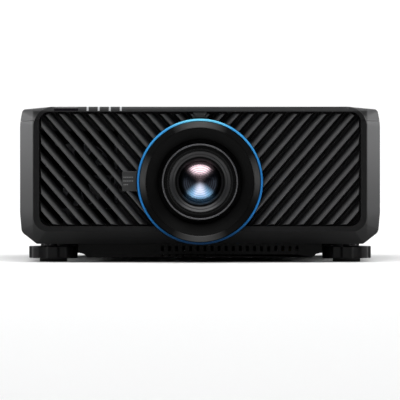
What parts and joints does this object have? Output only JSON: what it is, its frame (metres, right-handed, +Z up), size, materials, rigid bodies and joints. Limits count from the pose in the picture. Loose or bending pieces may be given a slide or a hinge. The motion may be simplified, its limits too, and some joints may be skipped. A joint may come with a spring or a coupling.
{
  "type": "installation projector",
  "caption": "Wide low installation projector with a centred lens in a dished ring, a grille of slanted ribs, scalloped screw feet and rear keys, ports and mains inlet.",
  "frame": {"origin": "on the table under the middle of the case's outline, at the underside of the foot pads", "axes": "+X to the right as seen by a viewer who faces the lens, +Y from the lens to the rear panel, +Z up"},
  "size_m": [0.48, 0.51, 0.2068],
  "materials": {
    "case_plastic": "fine-grained dark grey moulding",
    "grille_plastic": "satin black moulding",
    "trim_blue": "blue anodised, satin",
    "surround_plastic": "smooth black",
    "window_plastic": "glossy, dark tint",
    "light_guide": "translucent white",
    "chassis_steel": "dark powder coat",
    "insert_brass": "machined",
    "screw_steel": "black oxide",
    "foot_plastic": "satin black",
    "pad_rubber": "matt",
    "barrel_alloy": "black anodised",
    "gear_plastic": "natural acetal",
    "lens_glass": "coated optical glass",
    "shaft_steel": "ground",
    "carriage_alloy": "machined",
    "motor_steel": "plated",
    "engine_alloy": "die cast",
    "phosphor": "phosphor coated disc",
    "supply_steel": "galvanised",
    "board_green": "solder mask",
    "fan_plastic": "moulded black",
    "filter_media": "pleated non-woven",
    "port_steel": "nickel plated",
    "inlet_plastic": "moulded black",
    "key_plastic": "satin"
  },
  "bodies": {
    "housing": {"front_cover": "case_plastic", "top_cover": "case_plastic", "side_cover_left": "case_plastic", "side_cover_right": "case_plastic", "bottom_chassis": "chassis_steel", "chassis_inserts": "insert_brass", "casing_screws": "screw_steel", "front_grille": "grille_plastic", "blue_trim_ring": "trim_blue", "lens_surround": "surround_plastic", "ir_windows": "window_plastic", "status_light_guides": "light_guide", "shift_frame": "carriage_alloy", "x_guide_rods": "shaft_steel", "x_shift_motor": "motor_steel", "engine_housing": "engine_alloy", "laser_module": "engine_alloy", "laser_heatsink": "carriage_alloy", "power_supply": "supply_steel", "main_board": "board_green", "front_fan_frame": "fan_plastic", "rear_panel": "case_plastic", "io_ports": "port_steel", "ac_inlet": "inlet_plastic"},
    "cross_carriage": {"x_carriage": "carriage_alloy", "z_guide_rods": "shaft_steel", "z_shift_motor": "motor_steel"},
    "lens": {"z_carriage": "carriage_alloy", "lens_barrel": "barrel_alloy", "lens_motors": "motor_steel", "rear_glass": "lens_glass"},
    "cross_screw": {"x_lead_screw": "shaft_steel"},
    "rise_screw": {"z_lead_screw": "shaft_steel"},
    "focus_gear": {"focus_ring": "gear_plastic"},
    "focus_group": {"focus_cell": "barrel_alloy", "front_glass": "lens_glass"},
    "focus_drive": {"focus_pinion": "gear_plastic"},
    "zoom_gear": {"zoom_ring": "gear_plastic"},
    "zoom_group": {"zoom_cell": "barrel_alloy"},
    "zoom_drive": {"zoom_pinion": "gear_plastic"},
    "wheel": {"phosphor_wheel": "phosphor"},
    "fan": {"front_fan_rotor": "fan_plastic"},
    "filter_tray": {"filter_cover": "case_plastic", "air_filter": "filter_media"},
    "rocker": {"power_switch": "inlet_plastic"},
    "front_left_pad": {"foot_pad_front_left": "pad_rubber"},
    "front_left_knob": {"foot_knob_front_left": "foot_plastic"},
    "front_right_pad": {"foot_pad_front_right": "pad_rubber"},
    "front_right_knob": {"foot_knob_front_right": "foot_plastic"},
    "rear_left_pad": {"foot_pad_rear_left": "pad_rubber"},
    "rear_left_knob": {"foot_knob_rear_left": "foot_plastic"},
    "rear_right_pad": {"foot_pad_rear_right": "pad_rubber"},
    "rear_right_knob": {"foot_knob_rear_right": "foot_plastic"},
    "power_button": {"power_key": "key_plastic"},
    "menu_button": {"menu_key": "key_plastic"},
    "ok_button": {"ok_key": "key_plastic"},
    "up_button": {"up_key": "key_plastic"},
    "down_button": {"down_key": "key_plastic"},
    "left_button": {"left_key": "key_plastic"},
    "right_button": {"right_key": "key_plastic"}
  },
  "joints": [
    {"name": "front_left_foot_height", "type": "slide", "parent": "housing", "child": "front_left_pad", "axis": [0, 0, -1], "range_m": [0, 0.02]},
    {"name": "front_left_foot_turn", "type": "hinge", "parent": "front_left_pad", "child": "front_left_knob", "pos_m": [-0.197, -0.175, 0.0128], "axis": [0, 0, -1], "range_deg": [0, 4800]},
    {"name": "front_right_foot_height", "type": "slide", "parent": "housing", "child": "front_right_pad", "axis": [0, 0, -1], "range_m": [0, 0.02]},
    {"name": "front_right_foot_turn", "type": "hinge", "parent": "front_right_pad", "child": "front_right_knob", "pos_m": [0.197, -0.175, 0.0128], "axis": [0, 0, -1], "range_deg": [0, 4800]},
    {"name": "rear_left_foot_height", "type": "slide", "parent": "housing", "child": "rear_left_pad", "axis": [0, 0, -1], "range_m": [0, 0.02]},
    {"name": "rear_left_foot_turn", "type": "hinge", "parent": "rear_left_pad", "child": "rear_left_knob", "pos_m": [-0.197, 0.195, 0.0128], "axis": [0, 0, -1], "range_deg": [0, 4800]},
    {"name": "rear_right_foot_height", "type": "slide", "parent": "housing", "child": "rear_right_pad", "axis": [0, 0, -1], "range_m": [0, 0.02]},
    {"name": "rear_right_foot_turn", "type": "hinge", "parent": "rear_right_pad", "child": "rear_right_knob", "pos_m": [0.197, 0.195, 0.0128], "axis": [0, 0, -1], "range_deg": [0, 4800]},
    {"name": "lens_shift_across", "type": "slide", "parent": "housing", "child": "cross_carriage", "axis": [1, 0, 0], "range_m": [-0.0024, 0.0024]},
    {"name": "lens_shift_up", "type": "slide", "parent": "cross_carriage", "child": "lens", "axis": [0, 0, 1], "range_m": [-0.0038, 0.0038]},
    {"name": "cross_screw_turn", "type": "hinge", "parent": "housing", "child": "cross_screw", "pos_m": [0, -0.106, 0.1921], "axis": [1, 0, 0], "range_deg": [-450, 450]},
    {"name": "rise_screw_turn", "type": "hinge", "parent": "cross_carriage", "child": "rise_screw", "pos_m": [-0.091, -0.124, 0.1071], "axis": [0, 0, 1], "range_deg": [-700, 700]},
    {"name": "focus_turn", "type": "hinge", "parent": "lens", "child": "focus_gear", "pos_m": [0, -0.199, 0.1071], "axis": [0, 1, 0], "range_deg": [0, 120]},
    {"name": "focus_pinion_turn", "type": "hinge", "parent": "lens", "child": "focus_drive", "pos_m": [0.04667, -0.199, 0.06043], "axis": [0, 1, 0], "range_deg": [-770, 0]},
    {"name": "focus_travel", "type": "slide", "parent": "lens", "child": "focus_group", "axis": [0, 1, 0], "range_m": [0, 0.006]},
    {"name": "zoom_turn", "type": "hinge", "parent": "lens", "child": "zoom_gear", "pos_m": [0, -0.171, 0.1071], "axis": [0, 1, 0], "range_deg": [0, 90]},
    {"name": "zoom_pinion_turn", "type": "hinge", "parent": "lens", "child": "zoom_drive", "pos_m": [-0.04667, -0.171, 0.06043], "axis": [0, 1, 0], "range_deg": [-580, 0]},
    {"name": "zoom_travel", "type": "slide", "parent": "lens", "child": "zoom_group", "axis": [0, 1, 0], "range_m": [0, 0.012]},
    {"name": "wheel_spin", "type": "hinge", "parent": "housing", "child": "wheel", "pos_m": [-0.096, 0.01, 0.115], "axis": [1, 0, 0], "continuous": true},
    {"name": "fan_spin", "type": "hinge", "parent": "housing", "child": "fan", "pos_m": [-0.161, -0.21, 0.118], "axis": [0, 1, 0], "continuous": true},
    {"name": "filter_pull", "type": "slide", "parent": "housing", "child": "filter_tray", "axis": [1, 0, 0], "range_m": [0, 0.08]},
    {"name": "rocker_tilt", "type": "hinge", "parent": "housing", "child": "rocker", "pos_m": [0.13, 0.2386, 0.052], "axis": [1, 0, 0], "range_deg": [0, 16]},
    {"name": "power_press", "type": "slide", "parent": "housing", "child": "power_button", "axis": [0, -1, 0], "range_m": [0, 0.0012], "stiffness_N_per_m": 900, "springref_m": -0.0004},
    {"name": "menu_press", "type": "slide", "parent": "housing", "child": "menu_button", "axis": [0, -1, 0], "range_m": [0, 0.0012], "stiffness_N_per_m": 900, "springref_m": -0.0004},
    {"name": "ok_press", "type": "slide", "parent": "housing", "child": "ok_button", "axis": [0, -1, 0], "range_m": [0, 0.0012], "stiffness_N_per_m": 900, "springref_m": -0.0004},
    {"name": "up_press", "type": "slide", "parent": "housing", "child": "up_button", "axis": [0, -1, 0], "range_m": [0, 0.0012], "stiffness_N_per_m": 900, "springref_m": -0.0004},
    {"name": "down_press", "type": "slide", "parent": "housing", "child": "down_button", "axis": [0, -1, 0], "range_m": [0, 0.0012], "stiffness_N_per_m": 900, "springref_m": -0.0004},
    {"name": "left_press", "type": "slide", "parent": "housing", "child": "left_button", "axis": [0, -1, 0], "range_m": [0, 0.0012], "stiffness_N_per_m": 900, "springref_m": -0.0004},
    {"name": "right_press", "type": "slide", "parent": "housing", "child": "right_button", "axis": [0, -1, 0], "range_m": [0, 0.0012], "stiffness_N_per_m": 900, "springref_m": -0.0004}
  ],
  "couplings": [
    {"joint": "front_left_foot_height", "follows": "front_left_foot_turn", "m_per_rad": 0.00023873},
    {"joint": "front_right_foot_height", "follows": "front_right_foot_turn", "m_per_rad": 0.00023873},
    {"joint": "rear_left_foot_height", "follows": "rear_left_foot_turn", "m_per_rad": 0.00023873},
    {"joint": "rear_right_foot_height", "follows": "rear_right_foot_turn", "m_per_rad": 0.00023873},
    {"joint": "cross_screw_turn", "follows": "lens_shift_across", "rad_per_m": 3141.6},
    {"joint": "rise_screw_turn", "follows": "lens_shift_up", "rad_per_m": 3141.6},
    {"joint": "focus_pinion_turn", "follows": "focus_turn", "ratio": -6.3333},
    {"joint": "focus_travel", "follows": "focus_turn", "m_per_rad": 0.0028648},
    {"joint": "zoom_pinion_turn", "follows": "zoom_turn", "ratio": -6.3333},
    {"joint": "zoom_travel", "follows": "zoom_turn", "m_per_rad": 0.0076394}
  ]
}
